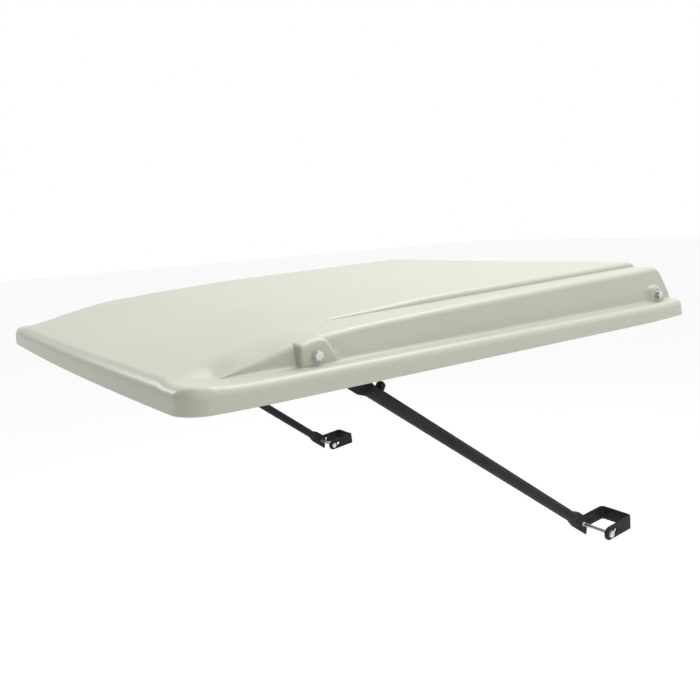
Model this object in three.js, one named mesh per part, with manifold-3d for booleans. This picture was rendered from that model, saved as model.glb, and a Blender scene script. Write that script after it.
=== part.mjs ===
// Hard-top canopy for the roll bar of a compact tractor or ride-on mower.
// Millimetres, +Z up. The design frame has y = 0 at the front rim and z = 0 at the rim's lower edge;
// the exported group moves it so that the origin is the centre of the roll bar's crossbar.
import * as THREE from "three";
import { mergeVertices } from "three/addons/utils/BufferGeometryUtils.js";
import Module from "manifold-3d";

const wasm = await Module();
wasm.setup();

// ---- Driving dimensions ----
const GAP = 0.3;                 // running gap between touching pieces

// Roof shell
const ROOF_LENGTH = 1157;
const HALF_WIDTH = 520;
const SHEET = 3.5;
const LIP_HEIGHT = 33;
const LIP_UPRIGHT = 1.5;         // the rim's outer face leans in by this much before its rounded edge
const SIDE_RIM = { face: 18, run: 14 };
const FRONT_RIM = { face: 20, run: 18 };
const REAR_RIM = { face: 18, run: 7 };
const CREASE = 6;                // fillet between the side wall and the rim flange
const FRONT_CORNER = 40;
const FRONT_TAPER = 11;
const FRONT_TAPER_LENGTH = 150;
const FRONT_BOW = 11;
const REAR_TAPER = 15;
const REAR_TAPER_START = 950;
const REAR_CORNER = 15;
const WALL_BASE = 484;           // half width of the raised body where it leaves the rim flange
const WALL_DRAFT = 0.15;
const FRONT_DRAFT = 0.1;         // the wall leans in by this much more just behind the front boss
const WALL_CORNER = 14;
const WEDGE_END = 245;           // the side wall reaches full width here
const WEDGE_INSET = 29;
const WEDGE_LENGTH = 175;
const WEDGE_TIP = 80;            // the side wall starts to rise out of the flange here
const WEDGE_SLOPE = 0.31;
const SHOULDER = 12;
const REAR_WALL_BASE = 1150;
const REAR_WALL_SLOPE = 38;
const PANEL_SPLIT = 139;         // half width of the centre panel at the rear
const PANEL_SPLIT_FRONT = 124;
const RAIL_INNER = 414;          // valley between the side panel and the side rail
const CENTRE_BULGE = 4.6;
const SIDE_BULGE = 5;
const SIDE_BULGE_OUTER = 5.5;
const VALLEY_ROUND = 6;          // width of the rounded panel edges along the inner valleys
const OUTER_ROUND = 11;          // width of the rounded panel edge along the side rail

// Bosses on the side walls
const BOSS_FACE = 486;
const BOLT_Z = 48;
const FRONT_BOLT_Y = 228.5;
const REAR_BOLT_Y = 1084.5;
const BOSS_ROOT = 480;           // the drafted edge of a boss ends at this half width
const BOSS_SLANT = THREE.MathUtils.degToRad(30);
const FRONT_BOSS = { front: 27, round: 27, corner: 13, draft: 2 };
const REAR_BOSS = { front: 21, round: 15.5, corner: 9, draft: 5 };

// Steel frame under the roof
const TUBE = 25;
const TUBE_WALL = 2;
const RAIL_X = 456.4;
const RAIL_FRONT = 212;
const RAIL_REAR = 1104;
const FRONT_BAR_Y = 264;
const SADDLE_X = 250;
const SADDLE_SPREAD = 64.5;      // saddle tubes stand this far before and behind the roll bar
const SADDLE_PLATE = 5;
const SADDLE_WIDTH = 50;
const ROLL_BAR_DEPTH = 63.5;
const ROLL_BAR_HEIGHT = 50.8;
const U_BOLT_ROD = 10;

// Struts and post clamps
const STRUT_X = 474;
const STRUT_LENGTH = 764;
const STRUT_RADIUS = 11.1;
const STRUT_WALL = 2;
const PADDLE_HALF_WIDTH = 16;
const PADDLE_HALF_THICKNESS = 2.5;
const LEFT_PITCH = THREE.MathUtils.degToRad(35.7);
const RIGHT_PITCH = THREE.MathUtils.degToRad(37.8);
const LEFT_CLAMP_PITCH = THREE.MathUtils.degToRad(3.5);
const RIGHT_CLAMP_PITCH = THREE.MathUtils.degToRad(5);
const CLAMP_WIDTH = 72;
const CLAMP_DEPTH = 73;
const CLAMP_STRAP = 4;
const CLAMP_HEIGHT = 27.6;
const LUG_DISTANCE = 149;

const ROLL_BAR_Y = FRONT_BOLT_Y + STRUT_LENGTH * Math.cos(LEFT_PITCH) + 4 + ROLL_BAR_DEPTH / 2;
const SADDLE_FACE_Z = BOLT_Z - TUBE / 2 - GAP - SADDLE_PLATE;
const ROLL_BAR_Z = SADDLE_FACE_Z - ROLL_BAR_HEIGHT / 2;

// ---- Materials ----
function finish(color, roughness, metalness) {
  return new THREE.MeshStandardMaterial({ color, roughness, metalness });
}

const shellPlastic = finish(0xd9dbc9, 0.45, 0);
const blackPowder = finish(0x232323, 0.5, 0.2);
const zinc = finish(0xb9bcbd, 0.35, 0.9);
const nylon = finish(0x1c1c1c, 0.6, 0);

// ---- Solids ----
function solidOf(geometry) {
  geometry.deleteAttribute("normal");
  geometry.deleteAttribute("uv");
  const merged = mergeVertices(geometry, 1e-4);
  const triVerts = new Uint32Array(merged.index.array);
  const vertProperties = new Float32Array(merged.attributes.position.array);
  return new wasm.Manifold(new wasm.Mesh({ numProp: 3, vertProperties, triVerts }));
}

function geometryOf(solid) {
  const mesh = solid.getMesh();
  const geometry = new THREE.BufferGeometry();
  geometry.setAttribute("position", new THREE.BufferAttribute(mesh.vertProperties, 3));
  geometry.setIndex(new THREE.BufferAttribute(mesh.triVerts, 1));
  geometry.computeVertexNormals();
  return geometry;
}

function meshOf(name, solid, material) {
  const mesh = new THREE.Mesh(geometryOf(solid), material);
  mesh.name = name;
  return mesh;
}

const AXES = { x: new THREE.Vector3(1, 0, 0), y: new THREE.Vector3(0, 1, 0), z: new THREE.Vector3(0, 0, 1) };
const SHAPE_TO_YZ = new THREE.Matrix4().makeBasis(AXES.y, AXES.z, AXES.x);

function box(width, depth, height, x = 0, y = 0, z = 0) {
  return solidOf(new THREE.BoxGeometry(width, depth, height).translate(x, y, z));
}

// A rod along X or Z from start to end
function rod(axis, radius, start, end, a = 0, b = 0, sides = 16) {
  const geometry = new THREE.CylinderGeometry(radius, radius, end - start, sides);
  const middle = (start + end) / 2;
  if (axis === "x") return solidOf(geometry.rotateZ(-Math.PI / 2).translate(middle, a, b));
  return solidOf(geometry.rotateX(Math.PI / 2).translate(a, b, middle));
}

// An outline in the YZ plane, extruded along X
function slabAlongX(shape, start, end) {
  const options = { depth: end - start, bevelEnabled: false, curveSegments: 12 };
  const geometry = new THREE.ExtrudeGeometry(shape, options);
  return solidOf(geometry.applyMatrix4(SHAPE_TO_YZ).translate(start, 0, 0));
}

// An outline in the XY plane, extruded along Z
function slabAlongZ(shape, start, end) {
  const options = { depth: end - start, bevelEnabled: false, curveSegments: 6 };
  const geometry = new THREE.ExtrudeGeometry(shape, options);
  return solidOf(geometry.translate(0, 0, start));
}

// Closed body through rings of points, with a fan over each end
function loft(rings) {
  const count = rings[0].length;
  const points = rings.flat();
  const centres = [rings[0], rings[rings.length - 1]].map((ring) => {
    const sum = ring.reduce((total, point) => total.map((value, i) => value + point[i]), [0, 0, 0]);
    return sum.map((value) => value / count);
  });
  const faces = [];
  for (let r = 0; r < rings.length - 1; r += 1) {
    for (let k = 0; k < count; k += 1) {
      const a = r * count + k;
      const b = r * count + ((k + 1) % count);
      faces.push(a, b, a + count, b, b + count, a + count);
    }
  }
  const first = points.length;
  const last = (rings.length - 1) * count;
  for (let k = 0; k < count; k += 1) {
    const next = (k + 1) % count;
    faces.push(first, next, k, first + 1, last + k, last + next);
  }
  const geometry = new THREE.BufferGeometry();
  geometry.setAttribute("position", new THREE.Float32BufferAttribute([...points, ...centres].flat(), 3));
  geometry.setIndex(faces);
  return solidOf(geometry);
}

// ---- Fasteners, modelled along X with the bearing face of the head or nut at x = 0 ----
const M6 = { rod: 3, flats: 10, head: 4, nut: 5, washer: 6 };
const M8 = { rod: 4, flats: 13, head: 5.3, nut: 6.8, washer: 8 };
const M10 = { rod: 5, flats: 16, head: 6.4, nut: 8.4, washer: 10.5 };
const WASHER_THICKNESS = 2;

function hexBlock(flats, start, end) {
  const radius = flats / Math.sqrt(3);
  const geometry = new THREE.CylinderGeometry(radius, radius, end - start, 6);
  return solidOf(geometry.rotateZ(-Math.PI / 2).translate((start + end) / 2, 0, 0));
}

const hexBolt = (size, length) => hexBlock(size.flats, 0, size.head).add(rod("x", size.rod, -length, 1));

function hexNut(size) {
  const bore = rod("x", size.rod + GAP, -1, size.nut + 1);
  return hexBlock(size.flats, 0, size.nut).subtract(bore);
}

function ring(inner, outer, length) {
  const profile = [[inner, 0], [outer, 0], [outer, length], [inner, length], [inner, 0]];
  const points = profile.map(([r, h]) => new THREE.Vector2(r, h));
  return solidOf(new THREE.LatheGeometry(points, 14).rotateZ(-Math.PI / 2));
}

const washer = (size) => ring(size.rod + GAP, size.washer, WASHER_THICKNESS);

// Puts an X-built piece on a bolt line; side -1 turns it to point to -X
function along(mesh, side, x, y, z) {
  mesh.position.set(side * x, y, z);
  mesh.rotation.z = side > 0 ? 0 : Math.PI;
  return mesh;
}

// ---- Roof shell ----
const clamp01 = (value) => Math.min(1, Math.max(0, value));

function smoothRamp(value, from, to) {
  const t = clamp01((value - from) / (to - from));
  return t * t * (3 - 2 * t);
}

const softMin = (a, b, k) => -k * Math.log(Math.exp(-a / k) + Math.exp(-b / k));
const cornerFall = (radius, run) => radius - Math.sqrt(Math.max(0, radius * radius - run * run));

function rimHalfWidth(s) {
  let width = HALF_WIDTH - FRONT_TAPER * clamp01(1 - s / FRONT_TAPER_LENGTH) ** 2;
  width -= REAR_TAPER * clamp01((s - REAR_TAPER_START) / (ROOF_LENGTH - REAR_TAPER_START)) ** 2;
  width -= cornerFall(FRONT_CORNER, Math.max(0, FRONT_CORNER - s));
  return width - cornerFall(REAR_CORNER, Math.max(0, s - (ROOF_LENGTH - REAR_CORNER)));
}

function wallHalfWidth(s) {
  let width = WALL_BASE - WEDGE_INSET * Math.max(0, (WEDGE_END - s) / WEDGE_LENGTH);
  width -= 4 * clamp01((s - REAR_TAPER_START) / (ROOF_LENGTH - REAR_TAPER_START));
  const run = Math.min(WALL_CORNER, Math.max(0, s - (REAR_WALL_BASE - WALL_CORNER)));
  width -= cornerFall(WALL_CORNER, run);
  return Math.min(width, rimHalfWidth(s) - SIDE_RIM.run - 8);
}

// Heights along the side rail and along the valleys beside the centre panel
const railHeight = (s) => softMin(38.5 + 0.21 * s, 78.2 + 0.0235 * s, 5);
const railFall = (s) => 6.5 * (1 - smoothRamp(s, 100, 560)) + 2 * (1 - smoothRamp(s, 400, 900));
const wallLean = (s) => smoothRamp(s, 270, 320) * (1 - smoothRamp(s, 330, 520));
const wallDraft = (s) => WALL_DRAFT + FRONT_DRAFT * wallLean(s);
const wedgeRise = (s) => 1.5 + WEDGE_SLOPE * Math.max(0, s - WEDGE_TIP);

function crestHeight(s) {
  const fall = s < 800 ? 8.9e-5 : 2.8e-5;
  return softMin(39.5 + 0.23 * s, 111.5 - fall * (s - 800) ** 2, 5);
}

function splitHalfWidth(s) {
  return PANEL_SPLIT_FRONT + (PANEL_SPLIT - PANEL_SPLIT_FRONT) * clamp01((s - 168) / 600);
}

// 1 on a panel, rounding down steeply to 0 at its edge
function panelEdge(distance, round) {
  const t = clamp01(1 - distance / round);
  return Math.sqrt(1 - t * t);
}

function panelBulge(x, s) {
  const split = splitHalfWidth(s);
  const inner = smoothRamp(s, 160, 300);
  if (x < split) {
    const crown = 0.25 * (1 - (x / split) ** 7) + 0.75 * panelEdge(split - x, VALLEY_ROUND);
    return CENTRE_BULGE * inner * crown;
  }
  const across = clamp01((x - split) / (RAIL_INNER - split));
  const outer = 0.4 * smoothRamp(s, 240, 330) + 0.6 * smoothRamp(s, 290, 560);
  const edge = 0.25 * (1 - Math.exp((split - x) / 22)) + 0.75 * panelEdge(x - split, VALLEY_ROUND);
  const rise = SIDE_BULGE * edge + SIDE_BULGE_OUTER * across;
  return (inner + (outer - inner) * across) * rise * panelEdge(RAIL_INNER - x, OUTER_ROUND);
}

function roofHeight(x, s) {
  const crown = Math.max(0, (RAIL_INNER ** 2 - x * x) / (RAIL_INNER ** 2 - PANEL_SPLIT ** 2));
  const rail = railHeight(s);
  return Math.max(LIP_HEIGHT + 1.5, rail + (crestHeight(s) - rail) * crown + panelBulge(x, s));
}

const rearFall = (s) => Math.max(0, softMin(1, (REAR_WALL_BASE - s) / REAR_WALL_SLOPE, 0.1));

// Height of a surface near a rim, at a distance in from the rim's lower edge: an upright face, then an
// elliptical round up to the full height
function rimHeight(distance, rim, height) {
  if (distance < LIP_UPRIGHT) return Math.min(height, (rim.face * distance) / LIP_UPRIGHT);
  const share = Math.max(0, (rim.run - distance) / (rim.run - LIP_UPRIGHT));
  return height < rim.face ? height : rim.face + (height - rim.face) * Math.sqrt(1 - share * share);
}

// Distances in from the rim's face at which its round is sampled, ending on the face itself
function rimSteps(rim) {
  const round = [1, 0.6, 0.28, 0.12, 0].map((t) => LIP_UPRIGHT + t * (rim.run - LIP_UPRIGHT));
  return [...round, 0];
}

// Half section of one skin at station s, from the centre line out to the rim; inset moves it inwards
function halfSection(s, inset) {
  const rim = rimHalfWidth(s) - inset;
  const base = wallHalfWidth(s) - inset;
  const flange = LIP_HEIGHT - inset;
  const rise = rearFall(s + inset);
  const topAt = (x) => flange + (roofHeight(x, s) - LIP_HEIGHT) * rise;
  const split = splitHalfWidth(s);
  const panelPoints = [
    0, 0.55 * split, split - 22, split - 6, split - 1.5, split, split + 1.5, split + 6, split + 30,
    230, 320, 385, 403, 409, 412.7];
  const valley = topAt(RAIL_INNER);
  const railRise = valley - flange - railFall(s) * rise * clamp01((valley - flange) / 20);
  const railTop = flange + Math.max(1, softMin(railRise, wedgeRise(s), 3));
  const shoulder = Math.min(SHOULDER, (railTop - flange) / 2);
  const draft = wallDraft(s);
  const edge = base - draft * (railTop - shoulder - flange);
  const railEdge = edge - shoulder;
  const section = [...panelPoints, RAIL_INNER].map((x) => [x, topAt(x)]);
  section.push([(RAIL_INNER + railEdge) / 2, 0.7 * valley + 0.3 * railTop]);
  section.push([railEdge, railTop]);
  section.push([edge - 0.3 * shoulder, railTop - 0.3 * shoulder]);
  section.push([edge, railTop - shoulder]);
  const crease = Math.min(CREASE, 0.8 * (railTop - shoulder - flange));
  section.push([base - draft * crease, flange + crease]);
  section.push([base + crease, flange + 0.2]);
  rimSteps(SIDE_RIM).forEach((step) => {
    section.push([rim - step, rimHeight(step, SIDE_RIM, flange)]);
  });
  return section.map(([x, z]) => {
    const front = rimHeight(s - inset, FRONT_RIM, z);
    return [x, rimHeight(ROOF_LENGTH - inset - s, REAR_RIM, front)];
  });
}

const plateau = [24, 38, 58, 85, 125, 160, 195, 235, 280, 340, 420, 540, 680, 820, 940, 1040, 1086];

function roofSkin(inset) {
  const frontSteps = rimSteps(FRONT_RIM).reverse().map((step) => inset + step);
  const rearSteps = rimSteps(REAR_RIM).map((step) => ROOF_LENGTH - inset - step);
  const rearWall = [1097, 1104, 1111, 1122, 1134, 1141, 1147].map((s) => s - inset / 2);
  const skirt = -20;
  const rings = [...frontSteps, ...plateau, ...rearWall, ...rearSteps].map((s) => {
    const half = halfSection(s, inset);
    const mirrored = half.slice(1).reverse().map(([x, z]) => [-x, z]);
    const place = ([x, z]) => {
      const bow = FRONT_BOW * (x / HALF_WIDTH) ** 2 * (1 - smoothRamp(s, 0, 200));
      return [x, s - 2 + bow, z];
    };
    const top = [...mirrored, ...half].map(place);
    const left = top[0];
    const right = top[top.length - 1];
    return [...top, [right[0], right[1], skirt], [left[0], left[1], skirt]];
  });
  return loft(rings);
}

// Side view of a boss: rounded at its top front corner, slanted down at its rear
function bossOutline(y, boss, grow) {
  const front = y - boss.front - grow;
  const round = boss.round + grow;
  const corner = boss.corner + grow;
  const foot = LIP_HEIGHT - 6;
  const slantY = y + round * Math.cos(BOSS_SLANT);
  const slantZ = BOLT_Z + round * Math.sin(BOSS_SLANT);
  const shape = new THREE.Shape();
  shape.moveTo(slantY + (slantZ - foot) * Math.tan(BOSS_SLANT), foot);
  shape.lineTo(slantY, slantZ);
  shape.absarc(y, BOLT_Z, round, BOSS_SLANT, Math.PI / 2, false);
  shape.absarc(front + corner, BOLT_Z + round - corner, corner, Math.PI / 2, Math.PI, false);
  shape.lineTo(front, foot);
  shape.closePath();
  return shape;
}

const BOSSES = [[FRONT_BOLT_Y, FRONT_BOSS], [REAR_BOLT_Y, REAR_BOSS]];
const BOSS_START = 452;

function addBosses(skin, inset) {
  const face = BOSS_FACE - inset;
  const root = BOSS_ROOT - inset;
  return BOSSES.reduce((solid, [y, boss]) => {
    const narrow = bossOutline(y, boss, -inset);
    const wide = bossOutline(y, boss, boss.draft - inset);
    const left = [slabAlongX(narrow, BOSS_START, face), slabAlongX(wide, BOSS_START, root)];
    const right = [slabAlongX(narrow, -face, -BOSS_START), slabAlongX(wide, -root, -BOSS_START)];
    return solid.add(wasm.Manifold.hull(left)).add(wasm.Manifold.hull(right));
  }, skin);
}

function roofShell() {
  let shell = addBosses(roofSkin(0), 0).subtract(addBosses(roofSkin(SHEET), SHEET));
  shell = shell.subtract(box(1400, 1600, 100, 0, 600, -50));
  BOSSES.forEach(([y]) => {
    shell = shell.subtract(rod("x", M8.rod + 0.6, -600, 600, y, BOLT_Z));
  });
  return meshOf("roof_shell", shell, shellPlastic);
}

// ---- Steel frame ----
function squareTubeAlongY(length) {
  const inside = TUBE - 2 * TUBE_WALL;
  return box(TUBE, length, TUBE).subtract(box(inside, length + 10, inside));
}

function squareTubeAlongX(length) {
  const inside = TUBE - 2 * TUBE_WALL;
  return box(length, TUBE, TUBE).subtract(box(length + 10, inside, inside));
}

function sideRail(name, side) {
  const middle = (RAIL_FRONT + RAIL_REAR) / 2;
  let rail = squareTubeAlongY(RAIL_REAR - RAIL_FRONT);
  [FRONT_BOLT_Y, REAR_BOLT_Y].forEach((y) => {
    rail = rail.subtract(rod("x", M8.rod + 0.5, -TUBE, TUBE, y - middle, 0));
  });
  const mesh = meshOf(`${name}_side_rail`, rail, blackPowder);
  mesh.position.set(side * RAIL_X, middle, BOLT_Z);
  return mesh;
}

function crossTube(name, y) {
  const mesh = meshOf(name, squareTubeAlongX(2 * (RAIL_X - TUBE / 2 - GAP)), blackPowder);
  mesh.position.set(0, y, BOLT_Z);
  return mesh;
}

const U_BOLT_REACH = ROLL_BAR_DEPTH / 2 + 1 + U_BOLT_ROD / 2;

function saddlePlate(name, side) {
  let plate = box(SADDLE_WIDTH, 2 * SADDLE_SPREAD + TUBE, SADDLE_PLATE);
  [-1, 1].forEach((end) => {
    plate = plate.subtract(rod("z", U_BOLT_ROD / 2 + 0.5, -10, 10, 0, end * U_BOLT_REACH));
  });
  const mesh = meshOf(`${name}_saddle_plate`, plate, blackPowder);
  mesh.position.set(side * SADDLE_X, ROLL_BAR_Y, SADDLE_FACE_Z + SADDLE_PLATE / 2);
  return mesh;
}

// Square-bend U-bolt that hangs from the saddle plate and passes under the roll bar
function uBolt(name, side) {
  const bend = 8;
  const floor = -(ROLL_BAR_HEIGHT + 1 + U_BOLT_ROD / 2);
  const legTop = SADDLE_PLATE + WASHER_THICKNESS + M10.nut + 5;
  const path = new THREE.CurvePath();
  const at = (y, z) => new THREE.Vector3(0, y, z);
  path.add(new THREE.LineCurve3(at(-U_BOLT_REACH, legTop), at(-U_BOLT_REACH, floor + bend)));
  path.add(new THREE.QuadraticBezierCurve3(
    at(-U_BOLT_REACH, floor + bend), at(-U_BOLT_REACH, floor), at(bend - U_BOLT_REACH, floor)));
  path.add(new THREE.LineCurve3(at(bend - U_BOLT_REACH, floor), at(U_BOLT_REACH - bend, floor)));
  path.add(new THREE.QuadraticBezierCurve3(
    at(U_BOLT_REACH - bend, floor), at(U_BOLT_REACH, floor), at(U_BOLT_REACH, floor + bend)));
  path.add(new THREE.LineCurve3(at(U_BOLT_REACH, floor + bend), at(U_BOLT_REACH, legTop)));
  const round = new THREE.Shape().absarc(0, 0, U_BOLT_ROD / 2, 0, 2 * Math.PI, false);
  const geometry = new THREE.ExtrudeGeometry(round, { steps: 26, curveSegments: 5, extrudePath: path });
  const mesh = meshOf(`${name}_u_bolt`, solidOf(geometry), zinc);
  mesh.position.set(side * SADDLE_X, ROLL_BAR_Y, SADDLE_FACE_Z);
  return mesh;
}

function uBoltHardware(name, side) {
  const plateTop = SADDLE_FACE_Z + SADDLE_PLATE + GAP;
  return [["front", -1], ["rear", 1]].flatMap(([end, sign]) => {
    const y = ROLL_BAR_Y + sign * U_BOLT_REACH;
    const pieces = [
      [meshOf(`${name}_${end}_u_washer`, washer(M10), zinc), plateTop],
      [meshOf(`${name}_${end}_u_nut`, hexNut(M10), zinc), plateTop + WASHER_THICKNESS + GAP],
    ];
    return pieces.map(([mesh, z]) => {
      mesh.position.set(side * SADDLE_X, y, z);
      mesh.rotation.y = -Math.PI / 2;
      return mesh;
    });
  });
}

// ---- Boss fasteners ----
const RAIL_OUTER = RAIL_X + TUBE / 2;
const RAIL_INNER_FACE = RAIL_X - TUBE / 2;
const BOSS_INNER = BOSS_FACE - SHEET;

function bossFasteners(name, side, end, y) {
  const headX = BOSS_FACE + GAP + WASHER_THICKNESS + GAP;
  const boltLength = headX - RAIL_INNER_FACE + M8.nut + 3;
  const label = `${name}_${end}`;
  const nutX = RAIL_INNER_FACE - GAP;
  const nut = along(meshOf(`${label}_nut`, hexNut(M8), zinc), -side, -nutX, y, BOLT_Z);
  return [
    along(meshOf(`${label}_bolt`, hexBolt(M8, boltLength), zinc), side, headX, y, BOLT_Z),
    along(meshOf(`${label}_washer`, washer(M8), zinc), side, BOSS_FACE + GAP, y, BOLT_Z),
    nut,
  ];
}

function spacer(name, side, y, from, to, outer, material) {
  const piece = ring(M8.rod + GAP, outer, to - from);
  return along(meshOf(name, piece, material), side, from, y, BOLT_Z);
}

// ---- Struts ----
const SECTION_SIDES = 16;

// Rounded section that changes from a round tube (flat = 0) to a pressed paddle (flat = 1)
function strutSection(distance, flat, halfWidth, skin) {
  const halfX = STRUT_RADIUS + (PADDLE_HALF_THICKNESS - STRUT_RADIUS) * flat - skin;
  const halfZ = halfWidth - skin;
  const power = 2 / (2 + 5 * flat);
  const points = [];
  for (let k = 0; k < SECTION_SIDES; k += 1) {
    const angle = (2 * Math.PI * k) / SECTION_SIDES;
    const c = Math.cos(angle);
    const s = Math.sin(angle);
    const x = halfX * Math.sign(c) * Math.abs(c) ** power;
    const z = halfZ * Math.sign(s) * Math.abs(s) ** power;
    points.push([x, distance, z]);
  }
  return points.reverse();
}

const SHOULDER_START = 102;      // upper paddle ends
const SHOULDER_END = 124;        // round tube begins
const LOWER_SHOULDER = 48;       // round tube ends this far before the clamp bolt
const LOWER_PADDLE = 26;
const PADDLE_TIP = 24;

function flatness(distance) {
  const upper = 1 - smoothRamp(distance, SHOULDER_START, SHOULDER_END);
  const lower = smoothRamp(distance, STRUT_LENGTH - LOWER_SHOULDER, STRUT_LENGTH - LOWER_PADDLE);
  return Math.max(upper, lower);
}

function strutSolid() {
  const tipRing = (distance) => {
    const halfWidth = Math.max(4, Math.sqrt(PADDLE_HALF_WIDTH ** 2 - distance ** 2));
    return strutSection(distance, 1, halfWidth, 0);
  };
  const bodyRing = (skin) => (distance) => {
    const flat = flatness(distance);
    const halfWidth = STRUT_RADIUS + (PADDLE_HALF_WIDTH - STRUT_RADIUS) * flat;
    return strutSection(distance, flat, halfWidth, skin);
  };
  const upper = [SHOULDER_START, 108, 113, 118, SHOULDER_END];
  const lower = [LOWER_SHOULDER, 42, 37, 32, LOWER_PADDLE].map((back) => STRUT_LENGTH - back);
  const outer = loft([
    ...[-15.8, -14, -10, -5].map(tipRing),
    ...[0, ...upper, ...lower, STRUT_LENGTH + PADDLE_TIP].map(bodyRing(0)),
  ]);
  const bore = loft([...upper.slice(3), ...lower.slice(0, 2)].map(bodyRing(STRUT_WALL)));
  const endCut = new THREE.BoxGeometry(40, 60, 80).translate(0, 30, 0).rotateX(THREE.MathUtils.degToRad(27));
  endCut.translate(0, STRUT_LENGTH + 14, 0);
  const drain = rod("z", 3, -30, 0, 0, STRUT_LENGTH - 80, 10);
  return outer
    .subtract(bore)
    .subtract(solidOf(endCut))
    .subtract(drain)
    .subtract(rod("x", M8.rod + 0.5, -30, 30, 0, 0))
    .subtract(rod("x", M8.rod + 0.4, -30, 30, STRUT_LENGTH, 0));
}

const LUG_THICKNESS = 3;
const LUG_X = STRUT_RADIUS + GAP + LUG_THICKNESS;
const LUG_BOLT_Z = 19;

function lugSolid() {
  const outline = new THREE.Shape();
  const halfWidth = 9;
  outline.moveTo(LUG_DISTANCE - halfWidth, -8);
  outline.lineTo(LUG_DISTANCE + halfWidth, -8);
  outline.lineTo(LUG_DISTANCE + halfWidth, LUG_BOLT_Z - 2);
  outline.absarc(LUG_DISTANCE, LUG_BOLT_Z - 2, halfWidth, 0, Math.PI, false);
  outline.closePath();
  const hole = rod("x", M6.rod + GAP, -5, 10, LUG_DISTANCE, LUG_BOLT_Z);
  return slabAlongX(outline, 0, LUG_THICKNESS).subtract(hole);
}

// ---- Post clamps ----
const LEG_X = -(PADDLE_HALF_THICKNESS + GAP + CLAMP_STRAP);
const EXTRA_HOLE = 18;

function clampSolid() {
  const right = LEG_X + CLAMP_WIDTH;
  const front = -CLAMP_HEIGHT / 2;
  const bend = 9;
  const inside = bend - CLAMP_STRAP;
  const innerBack = CLAMP_DEPTH - CLAMP_STRAP;
  const shape = new THREE.Shape();
  shape.moveTo(LEG_X, front);
  shape.lineTo(LEG_X + CLAMP_STRAP, front);
  shape.lineTo(LEG_X + CLAMP_STRAP, innerBack - inside);
  shape.absarc(LEG_X + bend, CLAMP_DEPTH - bend, inside, Math.PI, Math.PI / 2, true);
  shape.lineTo(right - bend, innerBack);
  shape.absarc(right - bend, CLAMP_DEPTH - bend, inside, Math.PI / 2, 0, true);
  shape.lineTo(right - CLAMP_STRAP, front);
  shape.lineTo(right, front);
  shape.lineTo(right, CLAMP_DEPTH - bend);
  shape.absarc(right - bend, CLAMP_DEPTH - bend, bend, 0, Math.PI / 2, false);
  shape.lineTo(LEG_X + bend, CLAMP_DEPTH);
  shape.absarc(LEG_X + bend, CLAMP_DEPTH - bend, bend, Math.PI / 2, Math.PI, false);
  shape.closePath();
  const half = CLAMP_HEIGHT / 2;
  const sideView = new THREE.Shape();
  sideView.moveTo(0, -half);
  sideView.lineTo(CLAMP_DEPTH + 5, -half);
  sideView.lineTo(CLAMP_DEPTH + 5, half);
  sideView.lineTo(0, half);
  sideView.absarc(0, 0, half, Math.PI / 2, (3 * Math.PI) / 2, false);
  sideView.closePath();
  return slabAlongZ(shape, -half - 1, half + 1)
    .intersect(slabAlongX(sideView, LEG_X - 5, right + 5))
    .subtract(rod("x", M8.rod + 0.4, LEG_X - 5, right + 5, 0, 0))
    .subtract(rod("x", M8.rod + 0.4, LEG_X - 5, right + 5, EXTRA_HOLE, 0));
}

function strutAssembly(name, side, pitch, clampPitch) {
  const strut = new THREE.Group();
  strut.position.set(side * STRUT_X, FRONT_BOLT_Y, BOLT_Z);
  strut.rotation.x = -pitch;
  strut.add(meshOf(`${name}_strut`, strutSolid(), blackPowder));

  const lugX = side > 0 ? -LUG_X : LUG_X - LUG_THICKNESS;
  const lug = meshOf(`${name}_lug`, lugSolid(), blackPowder);
  lug.position.x = lugX;
  strut.add(lug);
  const lugBolt = meshOf(`${name}_lug_bolt`, hexBolt(M6, LUG_THICKNESS + 2 * GAP + M6.nut + 2), zinc);
  lugBolt.position.set(lugX + LUG_THICKNESS + GAP, LUG_DISTANCE, LUG_BOLT_Z);
  strut.add(lugBolt);
  const lugNut = meshOf(`${name}_lug_nut`, hexNut(M6), zinc);
  lugNut.position.set(lugX - GAP, LUG_DISTANCE, LUG_BOLT_Z);
  lugNut.rotation.z = Math.PI;
  strut.add(lugNut);

  const clamp = new THREE.Group();
  clamp.position.y = STRUT_LENGTH;
  clamp.rotation.x = pitch + clampPitch;
  clamp.add(meshOf(`${name}_post_clamp`, clampSolid(), blackPowder));
  const headX = LEG_X + CLAMP_WIDTH + GAP;
  const clampBolt = meshOf(`${name}_clamp_bolt`, hexBolt(M8, CLAMP_WIDTH + 2 * GAP + M8.nut + 3), zinc);
  clampBolt.position.x = headX;
  clamp.add(clampBolt);
  const clampNut = meshOf(`${name}_clamp_nut`, hexNut(M8), zinc);
  clampNut.position.x = LEG_X - GAP;
  clampNut.rotation.z = Math.PI;
  clamp.add(clampNut);
  strut.add(clamp);
  return strut;
}

// ---- Assembly ----
const model = new THREE.Group();
model.position.set(0, -ROLL_BAR_Y, -ROLL_BAR_Z);
model.add(roofShell());
model.add(crossTube("front_cross_tube", FRONT_BAR_Y));
model.add(crossTube("saddle_front_tube", ROLL_BAR_Y - SADDLE_SPREAD));
model.add(crossTube("saddle_rear_tube", ROLL_BAR_Y + SADDLE_SPREAD));

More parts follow.
